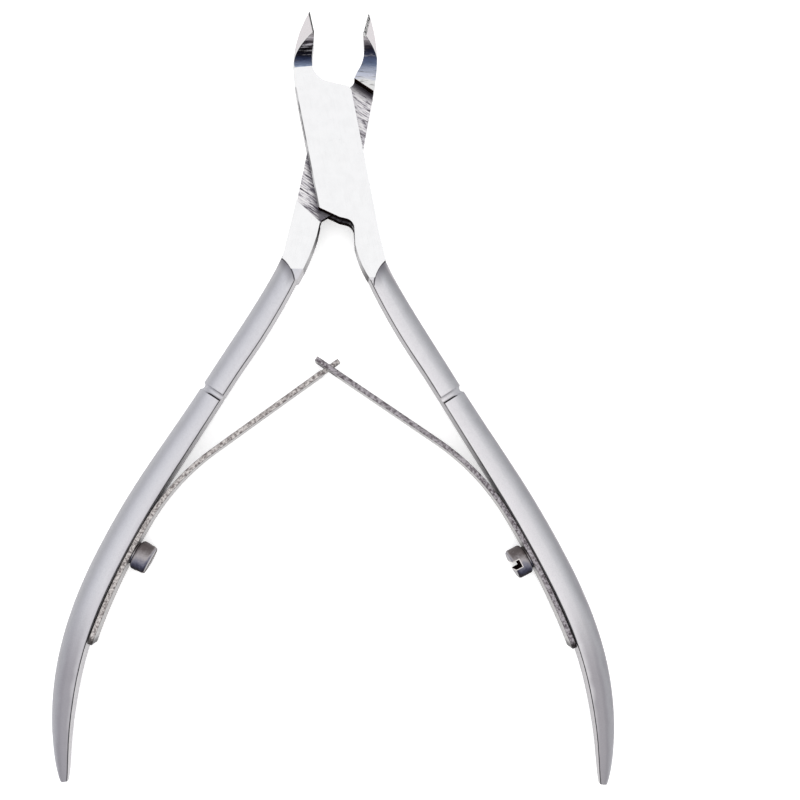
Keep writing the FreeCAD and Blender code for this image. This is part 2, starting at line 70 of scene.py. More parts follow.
class Tone:
    """A socket of a material's nodes. Arithmetic on it adds Math or Vector Math nodes."""

    def __init__(self, graph: "Graph", socket: bpy.types.NodeSocket) -> None:
        """Wrap a socket of that graph."""
        self.graph = graph
        self.socket = socket

    def _with(self, operation: str, first: object, second: object) -> "Tone":
        """Join two values with one Math node, or one Vector Math node for vectors."""
        kinds = [item.socket.type for item in (first, second) if isinstance(item, Tone)]
        node = "ShaderNodeVectorMath" if "VECTOR" in kinds else "ShaderNodeMath"
        return self.graph.add(node, {"operation": operation}, {0: first, 1: second})

    def __add__(self, other: object) -> "Tone":
        """Sum."""
        return self._with("ADD", self, other)

    __radd__ = __add__

    def __sub__(self, other: object) -> "Tone":
        """Difference."""
        return self._with("SUBTRACT", self, other)

    def __rsub__(self, other: object) -> "Tone":
        """Difference, the other way round."""
        return self._with("SUBTRACT", other, self)

    def __mul__(self, other: object) -> "Tone":
        """Product."""
        return self._with("MULTIPLY", self, other)

    __rmul__ = __mul__

    def __gt__(self, other: object) -> "Tone":
        """1 where this is the larger, else 0."""
        return self._with("GREATER_THAN", self, other)

    def __lt__(self, other: object) -> "Tone":
        """1 where this is the smaller, else 0."""
        return self._with("LESS_THAN", self, other)

    def __abs__(self) -> "Tone":
        """Size without the sign."""
        return self.graph.add("ShaderNodeMath", {"operation": "ABSOLUTE"}, {0: self})

    def __or__(self, other: "Tone") -> "Tone":
        """The larger of two masks."""
        return self._with("MAXIMUM", self, other)

    def __and__(self, other: "Tone") -> "Tone":
        """The smaller of two masks."""
        return self._with("MINIMUM", self, other)

    def dot(self, direction: tuple[float, float, float]) -> "Tone":
        """Length along a direction, for a vector."""
        return self.graph.add("ShaderNodeVectorMath", {"operation": "DOT_PRODUCT"},
                              {0: self, 1: direction}, output="Value")

    def length(self) -> "Tone":
        """Length of a vector."""
        return self.graph.add("ShaderNodeVectorMath", {"operation": "LENGTH"}, {0: self}, output="Value")

    def rise(self, low: float, high: float) -> "Tone":
        """A smooth step from 0 at low to 1 at high; low may be the larger."""
        return self.graph.add(
            "ShaderNodeMapRange", {"interpolation_type": "SMOOTHSTEP", "clamp": True},
            {"Value": self, "From Min": low, "From Max": high, "To Min": 0.0, "To Max": 1.0})

    def near(self, value: float, reach: float) -> "Tone":
        """1 at a value, falling smoothly to 0 at that reach on either side."""
        return abs(self - value).rise(reach, reach * 0.35)


class Graph:
    """The nodes of one material, from its inputs to its Principled shader."""

    def __init__(self, name: str) -> None:
        """Start a material with one Principled shader."""
        self.material = bpy.data.materials.new(name)
        self.material.use_nodes = True
        self.nodes = self.material.node_tree.nodes
        self.links = self.material.node_tree.links
        self.shader = self.nodes["Principled BSDF"]

    def add(self, kind: str, settings: dict[str, object], inputs: dict[object, object],
            output: object = 0) -> Tone:
        """Make any node.

        Args:
            kind: The node's type.
            settings: Its properties, set first. A ramp's stops go under "stops".
            inputs: Values or links by socket name or number.
            output: Name or number of the socket to return.

        Returns:
            The chosen output.
        """
        node = self.nodes.new(kind)
        for key, value in settings.items():
            if key == "stops":
                self._set_stops(node.color_ramp, value)
            else:
                setattr(node, key, value)
        for key, value in inputs.items():
            self.feed(self._socket(node.inputs, key), value)
        return Tone(self, self._socket(node.outputs, output))

    @staticmethod
    def _socket(sockets: object, key: object) -> bpy.types.NodeSocket:
        """The enabled socket with that name, or the one with that number."""
        if isinstance(key, int):
            return sockets[key]
        return next(item for item in sockets if item.name == key and item.enabled)

    @staticmethod
    def _set_stops(ramp: bpy.types.ColorRamp, stops: list[tuple[float, tuple[float, ...]]]) -> None:
        """Give a ramp its stops, as (position, colour) pairs.

        Args:
            ramp: The ramp to set.
            stops: Pairs of a position from 0 to 1 and a linear colour.
        """
        ordered = sorted(stops, key=lambda stop: stop[0])
        first, last = ramp.elements[0], ramp.elements[-1]
        last.position, first.position = ordered[-1][0], ordered[0][0]
        for position, _ in ordered[1:-1]:
            ramp.elements.new(position)
        for element, (_, colour) in zip(ramp.elements, ordered):
            element.color = (*colour, 1.0)

    def feed(self, socket: bpy.types.NodeSocket, value: object) -> None:
        """Link a Tone to a socket, or set the socket's own value."""
        if isinstance(value, Tone):
            self.links.new(value.socket, socket)
        elif socket.type == "RGBA":
            socket.default_value = (*value[:3], 1.0)
        else:
            socket.default_value = value

    def set(self, **inputs: object) -> None:
        """Feed the shader's sockets, with underscores for spaces in their names."""
        for key, value in inputs.items():
            self.feed(self.shader.inputs[key.replace("_", " ")], value)

    def place(self) -> Tone:
        """Where a point lies in the row frame at rest, in metres."""
        return self.add("ShaderNodeTexCoord", {}, {}, output="Object")

    def facing(self) -> Tone:
        """The surface's own normal, which turns with the piece."""
        return self.add("ShaderNodeTexCoord", {}, {}, output="Normal")

    def mapped(self, vector: Tone, kind: str, turn: float, scale: tuple[float, float, float]) -> Tone:
        """Scale a vector, then turn it about Z by degrees."""
        return self.add("ShaderNodeMapping", {"vector_type": kind},
                        {"Vector": vector, "Rotation": (0, 0, math.radians(turn)), "Scale": scale})

    def part(self, vector: Tone, axis: str) -> Tone:
        """One part of a vector: X, Y or Z."""
        return self.add("ShaderNodeSeparateXYZ", {}, {0: vector}, output=axis)

    def noise(self, vector: Tone, scale: float, detail: float = 3.0, roughness: float = 0.55) -> Tone:
        """Soft noise from 0 to 1."""
        return self.add("ShaderNodeTexNoise", {},
                        {"Vector": vector, "Scale": scale, "Detail": detail, "Roughness": roughness})

    def mix(self, mask: object, first: object, second: object) -> Tone:
        """Colour first where the mask is 0, second where it is 1."""
        return self.add("ShaderNodeMix", {"data_type": "RGBA", "clamp_factor": True},
                        {"Factor": mask, "A": first, "B": second}, output="Result")

    def blend_value(self, mask: object, first: object, second: object) -> Tone:
        """Number first where the mask is 0, second where it is 1."""
        return self.add("ShaderNodeMix", {"data_type": "FLOAT", "clamp_factor": True},
                        {"Factor": mask, "A": first, "B": second}, output="Result")

    def ramp(self, factor: Tone, stops: list[tuple[float, tuple[float, ...]]]) -> Tone:
        """Colour from a ramp's stops."""
        return self.add("ShaderNodeValToRGB", {"stops": stops}, {"Fac": factor}, output="Color")

    def relief(self, height: Tone, depth: float) -> None:
        """Raise the surface by a height from 0 to 1 times a depth in millimetres."""
        self.set(Normal=self.add("ShaderNodeBump", {},
                                 {"Height": height, "Strength": 1.0, "Distance": depth * MM}))


def paint(red: float, green: float, blue: float) -> tuple[float, float, float]:
    """Turn a colour as it is seen, each part from 0 to 1, into the linear light a shader takes."""
    return tuple(part / 12.92 if part <= 0.04045 else ((part + 0.055) / 1.055) ** 2.4
                 for part in (red, green, blue))


def dimmed(colour: tuple[float, float, float], share: float) -> tuple[float, float, float]:
    """A linear colour times a share."""
    return tuple(part * share for part in colour)


@dataclass(frozen=True)
class Bow:
    """Middle line of a shut handle in the plan: a straight run, then two arcs that curve back in."""

    start_x: float
    upper_radius: float
    start_y: float = -19.25
    splay: float = 21.5
    straight_end: float = 31.8
    bow_end: float = 50.0
    lower_radius: float = 49.0

    @staticmethod
    def _outward(angle: float) -> Vector:
        """Unit vector to the outer side where the handle leaves -Y by this many degrees."""
        return Vector((math.cos(math.radians(angle)), math.sin(math.radians(angle))))

    def across(self, graph: Graph, x: Tone, y: Tone) -> Tone:
        """Distance of a point from the middle line, outwards, in millimetres.

        Args:
            graph: The material's nodes.
            x: Across the shut tool.
            y: Along it.

        Returns:
            The distance, below 0 on the inner side.
        """
        outward = self._outward(self.splay)
        forward = Vector((outward.y, -outward.x))
        start = Vector((self.start_x, self.start_y))
        distance = (x - start.x) * outward.x + (y - start.y) * outward.y
        point, angle = start + forward * self.straight_end, self.splay
        for run, radius in ((self.bow_end - self.straight_end, self.upper_radius), (0.0, self.lower_radius)):
            centre = point - self._outward(angle) * radius
            spoke = graph.add("ShaderNodeCombineXYZ", {}, {0: x - centre.x, 1: y - centre.y})
            distance = graph.blend_value(y < point.y, distance, spoke.length() - radius)
            angle -= math.degrees(run / radius)
            point = centre + self._outward(angle) * radius
        return distance


@dataclass(frozen=True)
class LeverFinish:
    """Polished head and satin handle of one lever, told apart by where they lie on it.

    The lever is read in its shut position: x across the tool from the inner to the outer side of the
    handle, y to the tip, z through it, in millimetres.
    """

    side: Side
    bow: Bow
    across_shade_stops: tuple[tuple[float, tuple[float, float, float]], ...]
    inner_wall: tuple[float, float, float]
    satin_line: float
    root_arc: tuple[tuple[float, float], tuple[float, float], tuple[float, float]]
    hollow_reflection_stops: tuple[tuple[float, tuple[float, float, float]], ...]
    hollow_low: float
    hollow_high: float
    hone_reach: float
    hone_light: float
    wheel_y: float
    wheel_z: float
    ground_below: float = -100.0
    box_edge_shade_line: bool = False
    wheel_radius: float = 9.0
    wheel_skew: float = -5.5
    handle_half_width: float = 1.9
    wall_top: float = 12.0
    recess_top: float = 12.6
    leg_top: float = -8.4
    line_top: float = 9.4
    line_foot: float = -7.3
    jaw_root: float = 9.0
    jaw_back: float = 1.9
    ridge_start: float = 13.0
    facet_start: float = 13.2
    hone_start: float = 16.2
    front_level: float = 3.6
    polished: tuple[float, float, float] = (0.955, 0.955, 0.96)
    facet: tuple[float, float, float] = (0.975, 0.955, 0.965)
    overhead_gain: float = 0.72

    def tone(self, red: float, green: float, blue: float) -> tuple[float, float, float]:
        """A seen colour, less what the overhead light adds to bare steel."""
        return dimmed(paint(red, green, blue), self.overhead_gain)

    def make(self, name: str) -> bpy.types.Material:
        """Build the material.

        Args:
            name: The material's name.

        Returns:
            The finished material.
        """
        graph = Graph(name)
        graph.set(IOR=1.0)
        scale = (self.side.value * 1000.0, 1000.0, 1000.0)
        place = graph.place()
        shut = graph.mapped(place, "POINT", -OPEN_HALF_ANGLE, scale)
        facing = graph.mapped(graph.facing(), "VECTOR", -OPEN_HALF_ANGLE, (self.side.value, 1.0, 1.0))
        x, y, z = (graph.part(shut, axis) for axis in "XYZ")
        level = abs(z - MID_HEIGHT)
        out, along, up = graph.part(facing, "X"), graph.part(facing, "Y"), abs(graph.part(facing, "Z"))

        head, rough, shade = self._head(graph, place, shut, (x, y, z), level, (out, along, up))
        handle, handle_rough = self._handle(graph, shut, x, y, out, up)
        satin = (y + x * 0.2).rise(self.satin_line + 0.06, self.satin_line - 0.06)
        satin = satin | ((level < 2.075) & (y < -15.0) & (up > 0.12))
        graph.set(Base_Color=graph.mix(satin, head, handle),
                  Metallic=graph.blend_value(shade & (1.0 - satin), 0.8, 0.0),
                  Roughness=graph.blend_value(satin, rough, handle_rough))
        grain = graph.noise(shut, 9.0, 4.0, 0.65)
        graph.relief(grain * satin, 0.012)
        return graph.material

    def _from_arc(self, graph: Graph, x: Tone, y: Tone) -> Tone:
        """Distance out of the circle through the three points of the handle's root arc.

        Args:
            graph: The material's nodes.
            x: Across the shut tool.
            y: Along it.

        Returns:
            The distance, below 0 inside the circle.
        """
        (ax, ay), (bx, by), (cx, cy) = self.root_arc
        det = 2 * (ax * (by - cy) + bx * (cy - ay) + cx * (ay - by))
        sums = [ax ** 2 + ay ** 2, bx ** 2 + by ** 2, cx ** 2 + cy ** 2]
        middle_x = (sums[0] * (by - cy) + sums[1] * (cy - ay) + sums[2] * (ay - by)) / det
        middle_y = (sums[0] * (cx - bx) + sums[1] * (ax - cx) + sums[2] * (bx - ax)) / det
        radius = math.hypot(ax - middle_x, ay - middle_y)
        spoke = graph.add("ShaderNodeCombineXYZ", {}, {0: x - middle_x, 1: y - middle_y})
        return spoke.length() - radius

    def _handle(self, graph: Graph, shut: Tone, x: Tone, y: Tone, out: Tone, up: Tone) -> tuple[Tone, Tone]:
        """Satin handle: painted shade from the bright flat to the darker round outer side, pale inner wall,
        painted shade at the root arc and a thin painted shade line along the inner edge.

        Args:
            graph: The material's nodes.
            shut: Place on the shut tool.
            x: Its part across.
            y: Its part along.
            out: The normal's part outwards.
            up: The normal's part through the tool, unsigned.

        Returns:
            Colour and roughness.
        """
        cloud = graph.noise(shut, 0.3, 2.0)
        speck = graph.noise(shut, 5.5, 3.0, 0.75)
        across = self.bow.across(graph, x, y) + (cloud - 0.5) * 0.7
        share = graph.add("ShaderNodeMapRange", {"clamp": True}, {
            "Value": across, "From Min": -self.handle_half_width,
            "From Max": self.handle_half_width, "To Min": 0.0, "To Max": 1.0})
        # Painted shade: the ramp runs from the bright flat to the darker round outer side.
        colour = graph.ramp(share, [(stop, self.tone(*shade)) for stop, shade in self.across_shade_stops])
        low = y.rise(-64.0, -78.0)
        belly = across.near(-0.35, 1.3)
        colour = graph.mix(low * (belly * 0.5 + 0.15), colour, self.tone(0.52, 0.50, 0.53))
        colour = graph.mix((out < -0.1) & up.rise(0.9, 0.3), colour, self.tone(*self.inner_wall))
        from_arc = self._from_arc(graph, x, y)
        root = y.rise(-20.6, -19.0)
        # Painted shade at the root arc: a darker blob inside it and a dark line along its edge, where the
        # shoulder steps down.
        root_shade = from_arc.rise(-1.5, -0.05) & (from_arc < 0.03) & y.rise(-19.9, -17.2) & (out > -0.3)
        colour = graph.mix(root_shade * 0.75, colour, self.tone(0.46, 0.45, 0.48))
        rim = from_arc.near(0.0, 0.13) & root & (out > -0.3)
        colour = graph.mix(rim, colour, self.tone(0.30, 0.29, 0.31))
        # Painted shade: a thin dark line where the flat rounds into the inner wall.
        colour = graph.mix((out < -0.1) & up.near(0.62, 0.36), colour, self.tone(0.10, 0.09, 0.10))
        colour = graph.mix(speck.rise(0.35, 0.8) * 0.16, colour, self.tone(0.50, 0.50, 0.54))
        return colour, speck * 0.12 + 0.38

    def _head(self, graph: Graph, place: Tone, shut: Tone, parts: tuple[Tone, Tone, Tone],
              level: Tone, facing: tuple[Tone, Tone, Tone]) -> tuple[Tone, Tone, Tone]:
        """Polished box or shoulders, ground recesses, hollow-ground face and facets of the jaw.

        Args:
            graph: The material's nodes.
            place: Place on the tool as it lies.
            shut: Place on the shut tool.
            parts: The parts of shut.
            level: Distance from mid height.
            facing: The normal's parts outwards, along and through the tool.

        Returns:
            Colour, roughness and the mask of the walls painted dark as shade.
        """
        x, y, z = parts
        out, along, up = facing
        cloud = graph.noise(shut, 0.8, 3.0)
        colour = graph.mix(cloud.rise(0.35, 0.7), self.tone(*self.polished),
                           dimmed(self.tone(*self.polished), 0.97))
        lines = graph.noise(graph.mapped(shut, "POINT", 0.0, (9.0, 0.35, 1.0)), 1.0, 2.0)
        colour = graph.mix(lines.rise(0.5, 0.8) * 0.06, colour, self.tone(0.6, 0.6, 0.6))
        wall = up.rise(0.5, 0.2)
        colour = graph.mix(wall, colour, self.tone(0.66, 0.65, 0.66))
        # Painted shade: walls facing away from the tips are painted brown-black, reddish towards the front
        # and back faces, and kept non-metallic.
        dark_wall = wall & along.rise(-0.10, -0.45) & (y < self.wall_top)
        reddish_near_face = level.rise(1.75, 2.1)
        colour = graph.mix(dark_wall, colour, graph.mix(reddish_near_face, self.tone(0.09, 0.06, 0.06),
                                                        self.tone(0.30, 0.16, 0.12)))
        # Painted shade: the inner walls of the legs in the crotch are painted near black.
        leg = wall & out.rise(-0.2, -0.5) & y.rise(-15.5, -11.0) & (y < self.leg_top)
        colour = graph.mix(leg * 0.9, colour, self.tone(0.10, 0.08, 0.08))
        if self.box_edge_shade_line:
            # Painted shade: a patchy grey line along the box's side edge, where its faces roll off.
            line = x.near(0.08 - BOX_HALF_WIDTH, 0.15) & (up > 0.7)
            line = line & (y < self.line_top) & (y > self.line_foot)
            patch = graph.noise(shut, 0.6, 2.0).rise(0.35, 0.6)
            colour = graph.mix(line * (patch * 0.45 + 0.4), colour, self.tone(0.30, 0.29, 0.30))
        recess = (level < 0.7) & (up > 0.6) & (y < self.recess_top)
        colour = graph.mix(recess, colour, self._ground_recess(graph, shut, x, y))
        jaw, jaw_mask = self._jaw(graph, place, shut, x, y, z)
        colour = graph.mix(jaw_mask & up.rise(0.12, 0.25), colour, jaw)
        return colour, graph.blend_value(recess, 0.2, 0.42), dark_wall | leg

    def _ground_recess(self, graph: Graph, shut: Tone, x: Tone, y: Tone) -> Tone:
        """Fine grinding marks parallel to the jaw step, with painted shade under the steps and a painted
        shadow beside the box.

        Args:
            graph: The material's nodes.
            shut: Place on the shut tool.
            x: Its part across.
            y: Its part along.

        Returns:
            The colour.
        """
        marks = graph.mapped(shut, "POINT", -21.5, (1.0, 1.0, 1.0))
        fine = graph.noise(graph.mapped(marks, "POINT", 0.0, (0.55, 5.2, 1.0)), 1.0, 3.0, 0.72)
        colour = graph.ramp(fine, [
            (0.34, self.tone(0.20, 0.18, 0.21)), (0.43, self.tone(0.60, 0.58, 0.61)),
            (0.50, self.tone(0.88, 0.87, 0.89)), (0.62, self.tone(0.99, 0.98, 0.98))])
        streak = fine * 2.4 - 1.2
        # Painted shade under the jaw steps.
        under_step = (graph.part(marks, "Y") + streak).rise(8.2, 9.3)
        colour = graph.mix(under_step * 0.88, colour, self.tone(0.20, 0.17, 0.22))
        apart = math.radians(2 * OPEN_HALF_ANGLE)
        beside = x * math.cos(apart) - y * math.sin(apart) - BOX_HALF_WIDTH
        shadow = (beside + streak).rise(1.0, 0.0) & (y < 0.0)
        return graph.mix(shadow * 0.8, colour, self.tone(0.27, 0.25, 0.30))

    def _jaw(self, graph: Graph, place: Tone, shut: Tone, x: Tone, y: Tone, z: Tone) -> tuple[Tone, Tone]:
        """The hollow face with its painted dark to light reflection sweep, the pale facet, a painted
        highlight on the ridge and the honed strip.

        Args:
            graph: The material's nodes.
            place: Place on the tool as it lies.
            shut: Place on the shut tool.
            x: Its part across.
            y: Its part along.
            z: Its part through the tool.

        Returns:
            Colour and the jaw's mask.
        """
        skew = math.radians(self.wheel_skew)
        across = (y - self.wheel_y) * math.cos(skew) - x * math.sin(skew)
        reach = graph.add("ShaderNodeCombineXYZ", {}, {0: across, 1: z - self.wheel_z}).length()
        height = graph.part(place, "Y") * 1000.0
        low_face = (height < self.ground_below) & (z > self.front_level)
        hollow = (reach < self.wheel_radius + 0.012) | low_face
        turned = graph.mapped(place, "POINT", -3.0 * self.side.value, TO_MM)
        lines = graph.noise(graph.mapped(turned, "POINT", 0.0, (0.5, 4.0, 0.5)), 1.0, 3.0, 0.7)
        # Painted reflection: the hollow face is swept from dark to light along the tool, with grinding
        # scratches and streaks over it.
        sweep = graph.add("ShaderNodeMapRange", {"clamp": True}, {
            "Value": height + (lines - 0.5) * 2.4, "From Min": self.hollow_low,
            "From Max": self.hollow_high, "To Min": 0.0, "To Max": 1.0})
        ground = graph.ramp(sweep, [(stop, self.tone(*colour)) for stop, colour in self.hollow_reflection_stops])
        scratch = lines.rise(0.54, 0.70) & height.rise(self.hollow_low + 0.6, self.hollow_low + 3.0)
        ground = graph.mix(scratch * 0.55, ground, self.tone(0.84, 0.83, 0.86))
        ground = graph.mix(lines.rise(0.47, 0.33) * 0.6, ground, self.tone(0.10, 0.09, 0.13))
        colour = graph.mix(hollow, self.tone(*self.facet), ground)
        # Painted highlight: a white line along the ridge at the hollow's edge.
        ridge = (reach > self.wheel_radius + 0.012) & (reach < self.wheel_radius + 0.07)
        ridge = ridge & (y > self.ridge_start)
        colour = graph.mix(ridge, colour, self.tone(1.0, 1.0, 1.0))
        edge = x.rise(-self.hone_reach, -self.hone_reach + 0.06) & (y > self.hone_start)
        tooth = graph.noise(graph.mapped(shut, "POINT", 0.0, (5.0, 4.0, 5.0)), 1.0, 4.0, 0.75)
        light = self.tone(self.hone_light, self.hone_light, self.hone_light)
        honed = graph.mix(tooth.rise(0.42, 0.58), self.tone(0.16, 0.15, 0.16), light)
        colour = graph.mix(edge, colour, honed)
        mask = (z > self.jaw_back) & (hollow | (y > self.facet_start)) & (y > self.jaw_root)
        return colour, mask


@dataclass(frozen=True)
class SpringSteel:
    """Grey leaf spring: rough pale sheared edges, painted shade along the rounded corners, satin faces, and
    painted shade on the face turned to the lever.
    """

    rim_light: tuple[float, float, float]
    rim_dark: tuple[float, float, float]

    def make(self, name: str, tail: tuple[float, float], outwards: Vector) -> bpy.types.Material:
        """Build the material.

        Args:
            name: The material's name.
            tail: The tail end in the plan, in millimetres.
            outwards: Unit vector across the tail, away from the lever.

        Returns:
            The finished material.
        """
        graph = Graph(name)
        graph.set(IOR=1.0)
        place = graph.place()
        plan = graph.mapped(place, "POINT", 0.0, TO_MM)
        facing = graph.facing()
        up = abs(graph.part(facing, "Z"))
        marks = graph.noise(plan, 3.0, 4.0, 0.75)
        face = graph.mix(marks.rise(0.35, 0.65), dimmed(paint(0.64, 0.63, 0.63), 0.75),
                         dimmed(paint(0.80, 0.79, 0.79), 0.75))
        # Painted shade on the leaf's face turned to the lever.
        lever_side_shade = facing.dot(tuple(outwards)).rise(-0.2, -0.7)
        face = graph.mix(lever_side_shade * 0.6, face, dimmed(paint(0.25, 0.22, 0.22), 0.7))
        rim = graph.mix(marks.rise(0.40, 0.60), dimmed(paint(*self.rim_dark), 0.75),
                        dimmed(paint(*self.rim_light), 0.75))
        colour = graph.mix(up.rise(0.55, 0.85), face, rim)
        # Painted shade along the rounded corners between faces and edges.
        colour = graph.mix(up.near(0.5, 0.42) * 0.8, colour, dimmed(paint(0.20, 0.19, 0.19), 0.7))
        aft = Vector((-outwards.y, outwards.x, 0.0))
        aft = aft if aft.y > 0 else -aft
        from_tail = (plan - (*tail, 0.0)).dot(tuple(aft))
        colour = graph.mix(from_tail.rise(1.3, 0.4) * 0.85, colour, dimmed(paint(0.10, 0.08, 0.08), 0.7))
        graph.set(Base_Color=colour, Metallic=0.75, Roughness=marks * 0.2 + 0.3)
        graph.relief(marks, 0.02)
        return graph.material


@dataclass(frozen=True)
class ScrewSteel:
    """Dull turned steel: painted light from pale above to blue-black shade below, painted shade in the slot
    and under the head, painted highlights on the slot's rim and the flat end.
    """

    slot_half: float
    slot_floor: float
    head_height: float

    def make(self, name: str, seat: Vector, outwards: Vector, slot_side: Vector) -> bpy.types.Material:
        """Build the material.

        Args:
            name: The material's name.
            seat: Where the head's middle meets the leaf, in metres.
            outwards: Unit vector out of the leaf.
            slot_side: Unit vector across the slot.

        Returns:
            The finished material.
        """
        graph = Graph(name)
        graph.set(IOR=1.0)
        from_seat = (graph.place() - tuple(seat)) * TO_MM
        facing = graph.facing()
        rise = from_seat.dot(tuple(outwards))
        across = abs(from_seat.dot(tuple(slot_side)))
        # Painted light and shade by where the surface faces: pale above, blue-black below.
        facing_the_light = facing.dot((0.0, 0.9, 0.42)) * 0.5 + 0.5
        marks = graph.noise(from_seat, 2.2, 4.0, 0.7)
        lit_to_shaded_stops = [(0.06, (0.08, 0.04, 0.04)), (0.28, (0.12, 0.11, 0.14)), (0.44, (0.30, 0.30, 0.37)),
                  (0.58, (0.50, 0.50, 0.56)), (0.74, (0.70, 0.68, 0.69)), (0.92, (0.44, 0.41, 0.41))]
        colour = graph.ramp(facing_the_light + (marks - 0.5) * 0.28,
                            [(stop, dimmed(paint(*shade), 0.72)) for stop, shade in lit_to_shaded_stops])
        # Painted highlight on the head's flat end.
        end = facing.dot(tuple(outwards)).rise(0.75, 0.95)
        colour = graph.mix(end * 0.8, colour, dimmed(paint(0.78, 0.77, 0.78), 0.72))
        # Painted shade where the head meets the collar and the collar meets the leaf.
        collar = rise.near(0.30, 0.10) | rise.near(0.02, 0.08)
        colour = graph.mix(collar & (rise < 0.5), colour, dimmed(paint(0.07, 0.05, 0.05), 0.7))
        # Painted highlight on the slot's rim.
        lip = (across < self.slot_half + 0.13) & (rise > self.slot_floor - 0.13)
        colour = graph.mix(lip, colour, dimmed(paint(0.93, 0.91, 0.90), 0.75))
        # Painted shade inside the slot.
        inside = (across < self.slot_half + 0.02) & (rise > self.slot_floor - 0.02)
        inside = inside & (rise < self.head_height - 0.03)
        colour = graph.mix(inside, colour, dimmed(paint(0.10, 0.07, 0.07), 0.7))
        graph.set(Base_Color=colour, Metallic=graph.blend_value(inside, 0.5, 0.0),
                  Roughness=marks * 0.2 + 0.4)
        graph.relief(marks, 0.015)
        return graph.material


class Cells:
    """A flat sheet of cells, some of them missing, thickened into a closed mesh."""

    def __init__(self, columns: int, rows: int, kept: Callable[[int, int], bool]) -> None:
        """Keep the cells for which kept(column, row) is true."""
        self.columns = columns
        self.rows = rows
        self.kept = {(c, r) for c in range(columns) for r in range(rows) if kept(c, r)}

    def mesh(self, name: str, corner: Callable[[int, int, int], Vector]) -> bpy.types.Mesh:
        """Build the mesh.

        Args:
            name: The mesh's name.
            corner: Gives a grid corner's place from its column line, row line and face (0 or 1).

        Returns:
            A closed mesh with its normals outwards.
        """
        work = bmesh.new()
        made: dict[tuple[int, int, int], bmesh.types.BMVert] = {}

        def vert(column: int, row: int, face: int) -> bmesh.types.BMVert:
            """The vertex at a grid corner, made once."""
            key = (column, row, face)
            if key not in made:
                made[key] = work.verts.new(corner(column, row, face))
            return made[key]

        for c, r in sorted(self.kept):
            around = [(c, r), (c + 1, r), (c + 1, r + 1), (c, r + 1)]
            for face in (0, 1):
                work.faces.new([vert(*place, face) for place in around])
            beside = [(c, r - 1), (c + 1, r), (c, r + 1), (c - 1, r)]
            for index, other in enumerate(beside):
                if other not in self.kept:
                    first, last = around[index], around[(index + 1) % 4]
                    work.faces.new([vert(*first, 0), vert(*last, 0), vert(*last, 1), vert(*first, 1)])
        bmesh.ops.recalc_face_normals(work, faces=work.faces)
        mesh = bpy.data.meshes.new(name)
        work.to_mesh(mesh)
        work.free()
        return mesh


def bevelled(name: str, mesh: bpy.types.Mesh, width: float, segments: int = 3) -> bpy.types.Object:
    """Put a mesh in the scene with its sharp edges rounded by a width in millimetres.

    Args:
        name: The object's name.
        mesh: Its mesh.
        width: How wide the rounding is.
        segments: Steps in the rounding.

    Returns:
        The rounded object.
    """
    piece = bpy.data.objects.new(name, mesh)
    bpy.context.scene.collection.objects.link(piece)
    bevel = piece.modifiers.new("edges", "BEVEL")
    bevel.width = width * MM
    bevel.segments = segments
    bevel.limit_method = "ANGLE"
    bevel.angle_limit = math.radians(35.0)
    bevel.harden_normals = False
    view = bpy.context.evaluated_depsgraph_get()
    final = bpy.data.meshes.new_from_object(piece.evaluated_get(view))
    piece.modifiers.clear()
    piece.data = final
    final.shade_smooth()
    final.set_sharp_from_angle(angle=math.radians(40.0))
    return piece


